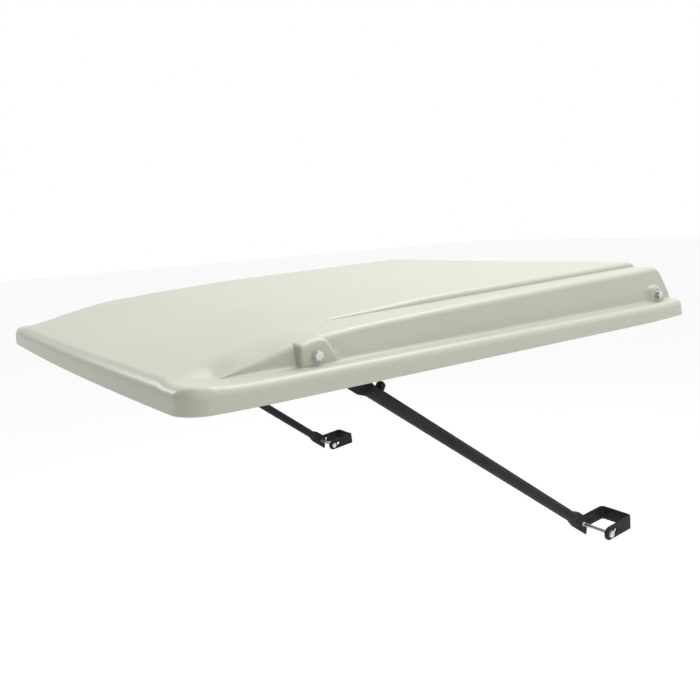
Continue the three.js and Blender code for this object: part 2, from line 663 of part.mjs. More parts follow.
const paddleInner = STRUT_X - PADDLE_HALF_THICKNESS - GAP;
const paddleOuter = STRUT_X + PADDLE_HALF_THICKNESS + GAP;
[["left", 1, LEFT_PITCH, LEFT_CLAMP_PITCH], ["right", -1, RIGHT_PITCH, RIGHT_CLAMP_PITCH]]
  .forEach(([name, side, pitch, clampPitch]) => {
    model.add(sideRail(name, side), saddlePlate(name, side), uBolt(name, side), ...uBoltHardware(name, side));
    model.add(...bossFasteners(name, side, "front", FRONT_BOLT_Y));
    model.add(...bossFasteners(name, side, "rear", REAR_BOLT_Y));
    const bushEnd = BOSS_INNER - GAP;
    const tubeFace = RAIL_OUTER + GAP;
    model.add(spacer(`${name}_pivot_bush`, side, FRONT_BOLT_Y, paddleOuter, bushEnd, 10, nylon));
    model.add(spacer(`${name}_thrust_washer`, side, FRONT_BOLT_Y, tubeFace, paddleInner, 10.5, nylon));
    model.add(spacer(`${name}_rear_spacer`, side, REAR_BOLT_Y, tubeFace, bushEnd, 9, zinc));
    model.add(strutAssembly(name, side, pitch, clampPitch));
  });

export default model;
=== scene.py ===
"""Moulded roll-bar canopy with swinging tube struts and post clamps: the visual model and its studio.

Shapes are worked out in millimetres in the design frame (y = 0 at the front rim, z = 0 at the rim's
lower edge) and placed in the row frame, in metres, by the PLACE matrix.
"""

import math

import bmesh
import bpy
import numpy as np
from mathutils import Matrix, Vector


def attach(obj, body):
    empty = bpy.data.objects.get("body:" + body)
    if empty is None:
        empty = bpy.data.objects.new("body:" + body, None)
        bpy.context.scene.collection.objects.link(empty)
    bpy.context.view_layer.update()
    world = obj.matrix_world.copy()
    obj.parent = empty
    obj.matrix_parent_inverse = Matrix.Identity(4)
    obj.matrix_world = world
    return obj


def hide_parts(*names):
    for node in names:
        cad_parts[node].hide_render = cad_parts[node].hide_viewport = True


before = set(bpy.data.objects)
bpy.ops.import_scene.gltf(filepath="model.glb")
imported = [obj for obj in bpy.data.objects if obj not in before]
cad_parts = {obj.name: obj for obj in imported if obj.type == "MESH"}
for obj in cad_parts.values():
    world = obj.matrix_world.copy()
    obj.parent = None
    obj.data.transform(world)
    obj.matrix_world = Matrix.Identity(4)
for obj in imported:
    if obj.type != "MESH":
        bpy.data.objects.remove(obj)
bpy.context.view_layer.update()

# ---- Driving dimensions, mm ----
GAP = 0.3
HEX_SIDES = 48
SKIN_FRONT = 2.0
ROOF_LENGTH = 1157.0
HALF_WIDTH = 520.0
FRONT_CORNER = 40.0
FRONT_TAPER = 11.0
FRONT_TAPER_LENGTH = 150.0
FRONT_BOW = 11.0
REAR_CORNER = 15.0
REAR_TAPER = 15.0
REAR_TAPER_START = 950.0
SHEET = 3.5
FLANGE = 33.0
LIP_UPRIGHT = 1.5
SIDE_RIM = {"face": 18.0, "run": 14.0}
FRONT_RIM = {"face": 20.0, "run": 18.0}
REAR_RIM = {"face": 18.0, "run": 7.0}
WALL_BASE = 484.0
WALL_DRAFT = 0.15
FRONT_DRAFT = 0.1
WALL_CORNER = 14.0
WEDGE_END = 245.0
WEDGE_INSET = 29.0
WEDGE_LENGTH = 175.0
REAR_WALL_BASE = 1150.0
REAR_WALL_SLOPE = 38.0
RAIL_INNER = 414.0
PANEL_SPLIT = 139.0
PANEL_SPLIT_FRONT = 124.0
SPLIT_START = 168.0
SPLIT_LENGTH = 600.0
CENTRE_BULGE = 4.48
SIDE_BULGE = 5.0
SIDE_BULGE_OUTER = 5.5
VALLEY_FADE = 22.0
SHOULDER = 12.0
CREASE = 8.0
BOSS_FACE = 486.0
BOLT_Z = 48.0
FRONT_BOLT_Y = 228.5
REAR_BOLT_Y = 1084.5
BOSSES = (
    {"y": FRONT_BOLT_Y, "front": 27.0, "round": 27.0, "corner": 13.0, "draft": 2.0},
    {"y": REAR_BOLT_Y, "front": 21.0, "round": 15.5, "corner": 9.0, "draft": 5.0},
)
BOSS_SLANT = math.radians(30)
WEDGE_TIP = 80.0
WEDGE_SLOPE = 0.31
NOSE_LIFT = 4.5
BOSS_EDGE = 5.0
VALLEY_ROUND = 6.0
OUTER_ROUND = 11.0
TUBE = 25.0
RAIL_X = 456.4
RAIL_FRONT = 212.0
RAIL_REAR = 1104.0
FRONT_BAR_Y = 264.0
SADDLE_X = 250.0
SADDLE_SPREAD = 64.5
SADDLE_PLATE = 5.0
SADDLE_WIDTH = 50.0
ROLL_BAR_DEPTH = 63.5
ROLL_BAR_HEIGHT = 50.8
U_ROD = 10.0
STRUT_X = 474.0
STRUT_LENGTH = 764.0
STRUT_RADIUS = 11.1
PADDLE_HALF_WIDTH = 16.0
PADDLE_HALF_THICKNESS = 2.5
CLAMP_WIDTH = 72.0
CLAMP_DEPTH = 73.0
CLAMP_STRAP = 4.0
CLAMP_HEIGHT = 27.6
CLAMP_BEND = 9.0
EXTRA_HOLE = 18.0
LUG_DISTANCE = 149.0
LUG_THICKNESS = 3.0
LUG_BOLT_Z = 19.0
PITCH = {"left": math.radians(35.7), "right": math.radians(37.8)}
CLAMP_PITCH = {"left": math.radians(3.5), "right": math.radians(5.0)}
SIDES = (("left", 1.0), ("right", -1.0))

ROLL_BAR_Y = FRONT_BOLT_Y + STRUT_LENGTH * math.cos(PITCH["left"]) + 4 + ROLL_BAR_DEPTH / 2
SADDLE_FACE_Z = BOLT_Z - TUBE / 2 - GAP - SADDLE_PLATE
ORIGIN = Vector((0.0, ROLL_BAR_Y, SADDLE_FACE_Z - ROLL_BAR_HEIGHT / 2))
PLACE = Matrix.Scale(0.001, 4) @ Matrix.Translation(-ORIGIN)

M6 = {"rod": 3.0, "flats": 10.0, "head": 4.0, "nut": 5.0, "washer": 6.0, "pitch": 1.0}
M8 = {"rod": 4.0, "flats": 13.0, "head": 5.3, "nut": 6.8, "washer": 8.0, "pitch": 1.25}
M10 = {"rod": 5.0, "flats": 16.0, "head": 6.4, "nut": 8.4, "washer": 10.5, "pitch": 1.5}
WASHER = 2.0


# ---- Materials ----
class Nodes:
    """A small builder for one procedural material."""

    def __init__(self, name):
        self.material = bpy.data.materials.new(name)
        self.material.use_nodes = True
        self.tree = self.material.node_tree
        self.shader = self.tree.nodes["Principled BSDF"]
        self.coords = self.add("ShaderNodeTexCoord").outputs["Object"]

    def add(self, kind, **settings):
        node = self.tree.nodes.new(kind)
        for key, value in settings.items():
            setattr(node, key, value)
        return node

    def link(self, source, target):
        self.tree.links.new(source, target)

    def noise(self, scale, detail=3.0, roughness=0.5, distortion=0.0):
        node = self.add("ShaderNodeTexNoise")
        node.inputs["Scale"].default_value = scale
        node.inputs["Detail"].default_value = detail
        node.inputs["Roughness"].default_value = roughness
        node.inputs["Distortion"].default_value = distortion
        self.link(self.coords, node.inputs["Vector"])
        return node.outputs["Fac"]

    def voronoi(self, scale, feature="F1"):
        node = self.add("ShaderNodeTexVoronoi", feature=feature)
        node.inputs["Scale"].default_value = scale
        self.link(self.coords, node.inputs["Vector"])
        return node.outputs["Distance"]

    def span(self, source, low, high, to_low, to_high):
        node = self.add("ShaderNodeMapRange")
        for socket, value in zip(node.inputs[1:5], (low, high, to_low, to_high)):
            socket.default_value = value
        self.link(source, node.inputs[0])
        return node.outputs[0]

    def math(self, operation, a, b):
        node = self.add("ShaderNodeMath", operation=operation)
        for socket, value in zip(node.inputs, (a, b)):
            if isinstance(value, float):
                socket.default_value = value
            else:
                self.link(value, socket)
        return node.outputs[0]

    def mix(self, factor, a, b):
        node = self.add("ShaderNodeMix", data_type="RGBA")
        self.link(factor, node.inputs["Factor"])
        for socket, value in ((node.inputs[6], a), (node.inputs[7], b)):
            if isinstance(value, tuple):
                socket.default_value = (*value, 1.0)
            else:
                self.link(value, socket)
        return node.outputs[2]

    def worn_edges(self, low, high):
        """1 on sharp convex edges, broken up by noise, and 0 elsewhere."""
        geometry = self.add("ShaderNodeNewGeometry")
        edge = self.span(geometry.outputs["Pointiness"], low, high, 0.0, 1.0)
        return self.math("MULTIPLY", edge, self.span(self.noise(90.0, 4.0, 0.7), 0.45, 0.62, 0.0, 1.0))

    def bump(self, height, strength, distance, under=None):
        node = self.add("ShaderNodeBump")
        node.inputs["Strength"].default_value = strength
        node.inputs["Distance"].default_value = distance
        self.link(height, node.inputs["Height"])
        if under is not None:
            self.link(under, node.inputs["Normal"])
        return node.outputs["Normal"]

    def finish(self, color, roughness, normal, metallic=0.0, specular=0.5):
        self.link(color, self.shader.inputs["Base Color"])
        self.link(roughness, self.shader.inputs["Roughness"])
        self.link(normal, self.shader.inputs["Normal"])
        self.shader.inputs["Metallic"].default_value = metallic
        self.shader.inputs["Specular IOR Level"].default_value = specular
        return self.material


def roof_plastic():
    n = Nodes("roof_plastic")
    broad = n.noise(2.6, 3.0)
    tone = n.mix(n.span(broad, 0.3, 0.7, 0.0, 1.0), (0.413, 0.427, 0.350), (0.431, 0.444, 0.368))
    fine = n.noise(420.0, 2.0)
    color = n.mix(n.span(fine, 0.35, 0.65, 0.0, 0.35), tone, (0.392, 0.405, 0.327))
    roughness = n.span(n.noise(150.0, 3.0), 0.3, 0.7, 0.33, 0.40)
    cells = n.voronoi(620.0, "SMOOTH_F1")
    hair = n.noise(900.0, 3.0, 0.6, 0.4)
    grain = n.math("ADD", n.math("MULTIPLY", cells, 0.6), n.math("MULTIPLY", hair, 0.5))
    waves = n.bump(n.noise(6.0, 1.0), 0.25, 0.0012)
    return n.finish(color, roughness, n.bump(grain, 0.07, 0.0003, waves))


def black_powder():
    n = Nodes("black_powder_coat")
    broad = n.noise(14.0, 3.0)
    coat = n.mix(n.span(broad, 0.3, 0.7, 0.0, 1.0), (0.0120, 0.0120, 0.0125), (0.0190, 0.0188, 0.0195))
    color = n.mix(n.worn_edges(0.56, 0.68), coat, (0.055, 0.054, 0.052))
    roughness = n.span(n.noise(240.0, 3.0), 0.3, 0.7, 0.48, 0.62)
    peel = n.noise(1100.0, 2.0, 0.55)
    return n.finish(color, roughness, n.bump(peel, 0.35, 0.0003), specular=0.16)


def zinc_plate():
    n = Nodes("zinc_steel")
    broad = n.noise(70.0, 3.0, 0.6, 0.6)
    plate = n.mix(n.span(broad, 0.3, 0.7, 0.0, 1.0), (0.56, 0.585, 0.60), (0.70, 0.70, 0.675))
    color = n.mix(n.span(n.noise(420.0, 4.0, 0.7), 0.56, 0.72, 0.0, 0.6), plate, (0.40, 0.41, 0.42))
    roughness = n.span(n.noise(320.0, 4.0, 0.6), 0.3, 0.7, 0.22, 0.42)
    scratch = n.noise(1500.0, 3.0, 0.6)
    return n.finish(color, roughness, n.bump(scratch, 0.12, 0.0002), metallic=1.0)


def black_nylon():
    n = Nodes("black_nylon")
    color = n.mix(n.span(n.noise(60.0), 0.3, 0.7, 0.0, 1.0), (0.011, 0.011, 0.011), (0.020, 0.020, 0.021))
    roughness = n.span(n.noise(500.0), 0.3, 0.7, 0.5, 0.68)
    return n.finish(color, roughness, n.bump(n.noise(1800.0, 2.0), 0.25, 0.0002))


ROOF, POWDER, ZINC, NYLON = roof_plastic(), black_powder(), zinc_plate(), black_nylon()


# ---- Mesh helpers ----
def finish_piece(name, mesh, material, body, nodes, transform, sharp=35.0):
    """Turns a bmesh in mm into a piece that stands for CAD nodes."""
    bmesh.ops.remove_doubles(mesh, verts=mesh.verts, dist=1e-3)
    bmesh.ops.recalc_face_normals(mesh, faces=mesh.faces)
    mesh.transform(PLACE @ transform)
    data = bpy.data.meshes.new(name)
    mesh.to_mesh(data)
    mesh.free()
    data.shade_smooth()
    data.set_sharp_from_angle(angle=math.radians(sharp))
    data.materials.append(material)
    obj = bpy.data.objects.new(name, data)
    bpy.context.scene.collection.objects.link(obj)
    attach(obj, body)
    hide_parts(*nodes)
    return obj


def grid_faces(rows, columns, offset=0, close_columns=False, flip=False):
    faces = []
    last = columns if close_columns else columns - 1
    for i in range(rows - 1):
        for j in range(last):
            a, b = offset + i * columns + j, offset + i * columns + (j + 1) % columns
            quad = (a, b, b + columns, a + columns)
            faces.append(quad[::-1] if flip else quad)
    return faces


def bmesh_of(points, faces):
    mesh = bmesh.new()
    verts = [mesh.verts.new(p) for p in points]
    for face in faces:
        corners = list(dict.fromkeys(face))
        if len(corners) > 2:
            mesh.faces.new([verts[k] for k in corners])
    return mesh


def tube_mesh(rings):
    """A closed body through rings of points, with a flat face over each end."""
    count = len(rings[0])
    points = [p for ring in rings for p in ring]
    faces = grid_faces(len(rings), count, close_columns=True)
    last = (len(rings) - 1) * count
    faces.append(tuple(range(count))[::-1])
    faces.append(tuple(range(last, last + count)))
    return bmesh_of(points, faces)


def ring_mesh(rings):
    """A closed loop of rings, such as a washer: the last ring joins the first."""
    count = len(rings[0])
    points = [p for ring in rings for p in ring]
    faces = grid_faces(len(rings), count, close_columns=True)
    last = (len(rings) - 1) * count
    for j in range(count):
        k = (j + 1) % count
        faces.append((last + j, last + k, k, j))
    return bmesh_of(points, faces)


def circle_x(x, radius, sides):
    """A ring of points round the X axis; radius may be a function of the angle."""
    ring = []
    for k in range(sides):
        angle = 2 * math.pi * k / sides
        r = radius(angle) if callable(radius) else radius
        ring.append((x, r * math.cos(angle), r * math.sin(angle)))
    return ring


def joined(*meshes):
    whole = bmesh.new()
    for mesh in meshes:
        part = bpy.data.meshes.new("part")
        mesh.to_mesh(part)
        mesh.free()
        whole.from_mesh(part)
        bpy.data.meshes.remove(part)
    return whole


def moved(mesh, transform):
    mesh.transform(transform)
    return mesh


def hexagon(flats):
    """Distance from the centre to the side of a hexagon, at an angle."""

    def radius(angle):
        return flats / 2 / math.cos((angle + math.pi / 6) % (math.pi / 3) - math.pi / 6)

    return radius


def hex_rings(flats, start, end, bevel_start, bevel_end):
    """Rings of a hexagonal block along X, with a conical chamfer at either end."""
    corner = hexagon(flats)
    crown = 0.475 * flats
    tan = math.tan(math.radians(30))

    def level(base, sign, chamfer):
        ring = []
        for k in range(HEX_SIDES):
            angle = 2 * math.pi * k / HEX_SIDES
            r = corner(angle)
            drop = (r - crown) * tan if chamfer else 0.0
            ring.append((base + sign * drop, r * math.cos(angle), r * math.sin(angle)))
        return ring

    rings = []
    if bevel_start:
        rings.append(circle_x(start, crown, HEX_SIDES))
    rings.append(level(start, 1.0, bevel_start))
    rings.append(level(end, -1.0, bevel_end))
    if bevel_end:
        rings.append(circle_x(end, crown, HEX_SIDES))
    return rings


def thread_rings(radius, pitch, start, end, sides=20):
    """Rings of a screw thread along X, with a chamfered tip at the end."""
    depth = 0.5 * pitch
    steps = max(6, int(abs(end - start) / pitch * 5))
    rings = []
    for i in range(steps + 1):
        x = start + (end - start) * i / steps
        tip = min(1.0, abs(end - x) / (1.2 * pitch))

        def wave(angle, x=x, tip=tip):
            turn = (x / pitch + angle / (2 * math.pi)) % 1.0
            ridge = 1 - abs(2 * turn - 1)
            return radius - depth * (1 - ridge) * 0.9 - (1 - tip) * 0.7

        rings.append(circle_x(x, wave, sides))
    return rings


def bolt_mesh(size, length, thread):
    """Hex-head bolt, bearing face at x = 0, head towards +X, thread on the last part of the shank."""
    head = tube_mesh(hex_rings(size["flats"], 0.0, size["head"], False, True))
    shank = [circle_x(0.4, size["rod"], 20), circle_x(-(length - thread), size["rod"], 20)]
    threads = thread_rings(size["rod"], size["pitch"], -(length - thread), -length)
    return joined(head, tube_mesh(shank + threads))


def nut_mesh(size):
    outer = hex_rings(size["flats"], 0.0, size["nut"], True, True)
    bore = size["rod"] + 0.1
    mouth = size["rod"] + 0.7
    inner = [(size["nut"], mouth), (size["nut"] - 0.7, bore), (0.7, bore), (0.0, mouth)]
    return ring_mesh(outer + [circle_x(x, r, HEX_SIDES) for x, r in inner])


def collar_mesh(inner, outer, length, edge=0.3, sides=40):
    """A washer, bush or spacer along X with softened edges."""
    profile = [
        (0.0, inner), (0.0, outer - edge), (0.3 * edge, outer - 0.3 * edge), (edge, outer),
        (length - edge, outer), (length - 0.3 * edge, outer - 0.3 * edge), (length, outer - edge),
        (length, inner),
    ]
    return ring_mesh([circle_x(x, r, sides) for x, r in profile])


def rounded_rectangle(width, height, radius, corner_steps=6):
    """Points of a rounded rectangle, anticlockwise."""
    points = []
    for cx, cy, start in ((1, 1, 0), (-1, 1, 90), (-1, -1, 180), (1, -1, 270)):
        for k in range(corner_steps + 1):
            angle = math.radians(start + 90 * k / corner_steps)
            points.append((
                cx * (width / 2 - radius) + radius * math.cos(angle),
                cy * (height / 2 - radius) + radius * math.sin(angle),
            ))
    return points


def square_tube(length):
    """Open-ended square tube along X, centred on the origin, with rolled corners."""
    half = length / 2
    outer = rounded_rectangle(TUBE, TUBE, 3.0)
    inner = rounded_rectangle(TUBE - 4, TUBE - 4, 1.2)
    soft = rounded_rectangle(TUBE - 0.8, TUBE - 0.8, 2.7)
    stations = [
        (-half, soft), (0.4 - half, outer), (half - 0.4, outer), (half, soft), (half, inner), (-half, inner),
    ]
    return ring_mesh([[(x, a, b) for a, b in outline] for x, outline in stations])


def bead(path, radius, seed):
    """A weld bead: a lumpy cord along a path of points."""
    random = np.random.default_rng(seed)
    points = [Vector(p) for p in path]
    dense = []
    for a, b in zip(points, points[1:]):
        steps = max(2, int((b - a).length / 1.1))
        dense += [a.lerp(b, k / steps) for k in range(steps)]
    dense.append(points[-1])
    rings = []
    for i, point in enumerate(dense):
        ahead = dense[min(i + 1, len(dense) - 1)] - dense[max(i - 1, 0)]
        turn = ahead.to_track_quat("X", "Z").to_matrix()
        end = min(1.0, (min(i, len(dense) - 1 - i) + 0.6) / 2.0)
        size = radius * end * (0.86 + 0.14 * math.cos(i * 2.1) + 0.06 * random.uniform(-1, 1))
        rings.append([tuple(point + turn @ Vector(p)) for p in circle_x(0.0, size, 8)])
    return tube_mesh(rings)


def cut_holes(obj, cutters):
    """Cuts closed meshes out of a piece's mesh."""
    for cutter in cutters:
        data = bpy.data.meshes.new("cutter")
        cutter.transform(PLACE)
        cutter.to_mesh(data)
        cutter.free()
        tool = bpy.data.objects.new("cutter", data)
        bpy.context.scene.collection.objects.link(tool)
        modifier = obj.modifiers.new("hole", "BOOLEAN")
        modifier.operation = "DIFFERENCE"
        modifier.solver = "EXACT"
        modifier.object = tool
        bpy.context.view_layer.update()
        evaluated = obj.evaluated_get(bpy.context.evaluated_depsgraph_get())
        cut = bpy.data.meshes.new_from_object(evaluated)
        obj.modifiers.clear()
        old, obj.data = obj.data, cut
        cut.name = obj.name
        bpy.data.meshes.remove(old)
        bpy.data.objects.remove(tool)
        bpy.data.meshes.remove(data)
    obj.data.shade_smooth()
    obj.data.set_sharp_from_angle(angle=math.radians(35))


# ---- Roof shell ----
def ramp(value, low, high):
    t = np.clip((value - low) / (high - low), 0.0, 1.0)
    return t * t * (3 - 2 * t)


def soft_min(a, b, k):
    return -k * np.logaddexp(-a / k, -b / k)


def corner_fall(radius, run):
    return radius - np.sqrt(np.maximum(0.0, radius * radius - run * run))


def rear_share(s):
    return np.clip((s - REAR_TAPER_START) / (ROOF_LENGTH - REAR_TAPER_START), 0, 1)


def rim_half_width(s):
    width = HALF_WIDTH - FRONT_TAPER * np.clip(1 - s / FRONT_TAPER_LENGTH, 0, 1) ** 2
    width = width - REAR_TAPER * rear_share(s) ** 2
    width = width - corner_fall(FRONT_CORNER, np.clip(FRONT_CORNER - s, 0, FRONT_CORNER))
    return width - corner_fall(REAR_CORNER, np.clip(s - (ROOF_LENGTH - REAR_CORNER), 0, REAR_CORNER))


def soft_max0(value):
    return 0.02 * np.logaddexp(0.0, value / 0.02)


def wall_half_width(s):
    width = WALL_BASE - WEDGE_INSET * soft_max0((WEDGE_END - s) / WEDGE_LENGTH) - 4 * rear_share(s)
    run = np.clip(s - (REAR_WALL_BASE - WALL_CORNER), 0, WALL_CORNER)
    return np.minimum(width - corner_fall(WALL_CORNER, run), rim_half_width(s) - SIDE_RIM["run"] - 8)


def rail_height(s):
    return soft_min(38.5 + 0.21 * s, 78.2 + 0.0235 * s, 5.0)


def crest_height(s):
    fall = np.where(s < 800, 8.9e-5, 2.8e-5)
    return soft_min(39.5 + 0.23 * s, 111.5 - fall * (s - 800) ** 2, 5.0)


def split_half_width(s):
    share = np.clip((s - SPLIT_START) / SPLIT_LENGTH, 0, 1)
    return PANEL_SPLIT_FRONT + (PANEL_SPLIT - PANEL_SPLIT_FRONT) * share


def panel_edge(distance, width):
    """1 on a panel, rounding down steeply to 0 at its edge."""
    t = np.clip(1 - distance / width, 0, 1)
    return np.sqrt(1 - t * t)


def panel_bulge(x, s):
    """Crown of the three top panels above the valleys between them."""
    split = split_half_width(s)
    inner = ramp(s, 160, 300)
    crown = 0.25 * (1 - np.clip(x / split, 0, 1) ** 7) + 0.75 * panel_edge(split - x, VALLEY_ROUND)
    across = np.clip((x - split) / (RAIL_INNER - split), 0, 1)
    outer = 0.4 * ramp(s, 240, 330) + 0.6 * ramp(s, 290, 560)
    fade = 1 - np.exp(-np.maximum(0, x - split) / VALLEY_FADE)
    edge = 0.25 * fade + 0.75 * panel_edge(x - split, VALLEY_ROUND)
    side = (inner + (outer - inner) * across) * (SIDE_BULGE * edge + SIDE_BULGE_OUTER * across)
    side = side * panel_edge(RAIL_INNER - x, OUTER_ROUND)
    return np.where(x < split, CENTRE_BULGE * inner * crown, side)


def roof_height(x, s):
    crown = np.maximum(0, (RAIL_INNER**2 - x * x) / (RAIL_INNER**2 - PANEL_SPLIT**2))
    rail = rail_height(s)
    return np.maximum(FLANGE + 1.5, rail + (crest_height(s) - rail) * crown + panel_bulge(x, s))


def rim_height(distance, rim, height):
    """Height of a surface near a rim: an upright face, then an elliptical round up to the full height."""
    face = rim["face"]
    share = np.clip((rim["run"] - distance) / (rim["run"] - LIP_UPRIGHT), 0, 1)
    rounded = np.where(height > face, face + (height - face) * np.sqrt(1 - share * share), height)
    upright = np.minimum(height, face * np.maximum(0, distance) / LIP_UPRIGHT)
    return np.where(distance < LIP_UPRIGHT, upright, rounded)


def boss_depth(y, z, boss, grow):
    """Distance inside a boss's outline in side view, negative outside it."""
    y = y - boss["y"]
    z = z - BOLT_Z
    front = boss["front"] + grow
    top = boss["round"] + grow
    corner = boss["corner"] + grow
    side = front + y
    dy, dz = np.maximum(0, corner - side), np.maximum(0, z - (top - corner))
    cornered = np.where((dy > 0) & (dz > 0), corner - np.hypot(dy, dz), np.minimum(side, top - z))
    slant = top - (y * math.cos(BOSS_SLANT) + z * math.sin(BOSS_SLANT))
    angle = np.arctan2(z, y)
    rounded = np.where(angle > BOSS_SLANT, top - np.hypot(y, z), slant)
    return np.where(y > 0, np.minimum(rounded, slant), cornered)


def shell_stations(inset):
    front = [0, 0.4, 0.8, 1.5, 2.2, 3, 4, 5, 6.2, 7.5, 9, 10.5, 12, 14, 16, 18, 20.5, 23, 26, 30, 35, 40]
    back = [1110 + 1.5 * k for k in range(26)] + [1148.5, 1149.5, 1150.5, 1151.5, 1152.5, 1153.5, 1154.3]
    back += [1155, 1155.6, 1156.1, 1156.6, 1157]
    stations = front + list(np.linspace(45, 196, 31)) + list(np.linspace(197.2, 262, 55))
    stations += list(np.linspace(268, 1064, 100)) + list(np.linspace(1065.2, 1109, 37)) + back
    share = (ROOF_LENGTH - 2 * inset) / ROOF_LENGTH
    return inset + np.array(stations) * share


def top_stations(split):
    """Places across half of the top, from its middle out to the side rail, closest near the valleys."""
    near = 1 - np.cos(np.linspace(0, math.pi / 2, 8))
    return np.concatenate([
        np.linspace(0, split - 24, 11), np.linspace(split - 20, split - 9, 4),
        (split - VALLEY_ROUND * near)[::-1], split + VALLEY_ROUND * near[1:],
        np.linspace(split + 9, split + 30, 6), np.linspace(split + 44, 383, 13),
        [394], (RAIL_INNER - OUTER_ROUND * near)[::-1],
    ])


def push_out_bosses(x, z, rail_top, s, inset):
    """Moves the side wall's points out to the flat faces of the bosses."""
    face = BOSS_FACE - inset
    for boss in BOSSES:
        depth = boss_depth(s - SKIN_FRONT, z, boss, -inset)
        t_in = np.clip((depth + boss["draft"]) / (BOSS_EDGE + boss["draft"]), 0, 1)
        t_top = np.clip((rail_top - z) / SHOULDER, 0, 1)
        lift = np.sqrt(1 - (1 - t_in) ** 2) * np.sqrt(1 - (1 - t_top) ** 2)
        x = np.where(x > RAIL_INNER + 20, x + np.maximum(0, face - x) * lift, x)
    return x


def shell_row(s, inset):
    """Half section at a station: the top, the side rail, its shoulder, the side wall and the side rim."""
    flange = FLANGE - inset + NOSE_LIFT * (1 - ramp(s, 15, 95))
    rim = rim_half_width(s) - inset
    base = wall_half_width(s) - inset
    rise = float(np.maximum(0.0, soft_min(1.0, (REAR_WALL_BASE - s - inset) / REAR_WALL_SLOPE, 0.1)))
    top_x = top_stations(float(split_half_width(s)))
    top_z = FLANGE - inset + (roof_height(top_x, s) - FLANGE) * rise
    valley = top_z[-1]
    rail_fall = 6.5 * (1 - ramp(s, 100, 560)) + 2.0 * (1 - ramp(s, 400, 900))
    rail_fall = rail_fall * rise * np.clip((valley - flange) / 20, 0, 1)
    wedge = 0.05 + WEDGE_SLOPE * max(0.0, s - WEDGE_TIP)
    rail_top = flange + max(0.05, float(soft_min(valley - flange - rail_fall, wedge, 3.0)))
    shoulder = min(SHOULDER, (rail_top - flange) / 2)
    draft = WALL_DRAFT + FRONT_DRAFT * ramp(s, 270, 320) * (1 - ramp(s, 330, 520))
    edge = base - draft * (rail_top - shoulder - flange)
    t = np.linspace(0, 1, 9)[1:]
    rail_x = RAIL_INNER + (edge - shoulder - RAIL_INNER) * t
    blend = ramp(s, 70, 130)
    rail_z = valley + (rail_top - valley) * (blend * t**1.7 + (1 - blend) * t * t * (3 - 2 * t))
    angle = np.linspace(0, math.pi / 2, 17)[1:]
    bend_x = edge - shoulder + shoulder * np.sin(angle)
    bend_z = rail_top - shoulder + shoulder * np.cos(angle)
    crease = min(CREASE, 0.8 * (rail_top - shoulder - flange))
    wall_z = np.linspace(rail_top - shoulder, flange + crease, 44)[1:]
    wall_x = base - draft * (wall_z - flange)
    turn = np.linspace(0, math.pi / 2, 9)[1:]
    foot_x = wall_x[-1] + crease * (1 - np.cos(turn))
    foot_z = flange + crease * (1 - np.sin(turn))
    x = np.concatenate([top_x, rail_x, bend_x, wall_x, foot_x])
    z = np.concatenate([top_z, rail_z, bend_z, wall_z, foot_z])
    x = push_out_bosses(x, z, rail_top, s, inset)
    foot = x[-1]
    flat = np.array([0.3, 0.6, 0.85])
    ring = np.array([14, 12.5, 11, 9.5, 8, 6.8, 5.7, 4.7, 3.8, 3.0, 2.4, 1.9, 1.5, 1.0, 0.5, 0.0])
    x = np.concatenate([x, foot + (rim - 14 - foot) * flat, rim - ring])
    z = np.concatenate([z, np.full(3, flange), rim_height(ring, SIDE_RIM, flange)])
    return x, z


def shell_skin(inset):
    """Grid of points of one skin: a row per station, from the -X rim over the top to the +X rim."""
    stations = shell_stations(inset)
    rows = [shell_row(s, inset) for s in stations]
    half_x = np.array([x for x, z in rows])
    half_z = np.array([z for x, z in rows])
    s = np.broadcast_to(stations[:, None], half_x.shape)
    corner_x = rim_half_width(np.array(60.0)) - inset - FRONT_CORNER
    corner = np.hypot(np.maximum(0, half_x - corner_x), FRONT_CORNER + inset - s)
    in_corner = (s < FRONT_CORNER + inset) & (half_x > corner_x)
    front = np.where(in_corner, FRONT_CORNER - corner, s - inset)
    half_z = rim_height(front, FRONT_RIM, half_z)
    half_z = rim_height(ROOF_LENGTH - inset - s, REAR_RIM, half_z)
    half_z[:, -1] = 0.0
    half_z[-1, :] = 0.0
    half_z = np.maximum(half_z, 0.0)
    bow = FRONT_BOW * (half_x / HALF_WIDTH) ** 2 * (1 - ramp(s, 0, 200))
    half_y = s - SKIN_FRONT + bow
    x = np.concatenate([-half_x[:, :0:-1], half_x], axis=1)
    y = np.concatenate([half_y[:, :0:-1], half_y], axis=1)
    z = np.concatenate([half_z[:, :0:-1], half_z], axis=1)
    return np.stack([x, y, z], axis=2)


def roof_shell():
    outer, inner = shell_skin(0.0), shell_skin(SHEET)
    rows, columns = outer.shape[:2]
    count = rows * columns
    points = np.concatenate([outer.reshape(-1, 3), inner.reshape(-1, 3)])
    faces = grid_faces(rows, columns) + grid_faces(rows, columns, offset=count, flip=True)
    border = list(range(columns))
    border += [i * columns + columns - 1 for i in range(1, rows)]
    border += [(rows - 1) * columns + j for j in range(columns - 2, -1, -1)]
    border += [i * columns for i in range(rows - 2, 0, -1)]
    for a, b in zip(border, border[1:] + border[:1]):
        faces.append((a, a + count, b + count, b))
    data = bpy.data.meshes.new("roof_skin")
    world = (points - np.array(ORIGIN)) * 0.001
    data.from_pydata(world.tolist(), [], faces)
    mesh = bmesh.new()
    mesh.from_mesh(data)
    bpy.data.meshes.remove(data)
    mesh.transform(PLACE.inverted())
    return finish_piece("roof_skin", mesh, ROOF, "roof", ["roof_shell"], Matrix.Identity(4), sharp=40)


roof_shell()


# ---- Steel frame under the roof ----
def frame_piece(name, mesh, nodes, transform, material=POWDER):
    return finish_piece(name, mesh, material, "roof", nodes, transform)


def move(x, y, z):
    return Matrix.Translation((x, y, z))


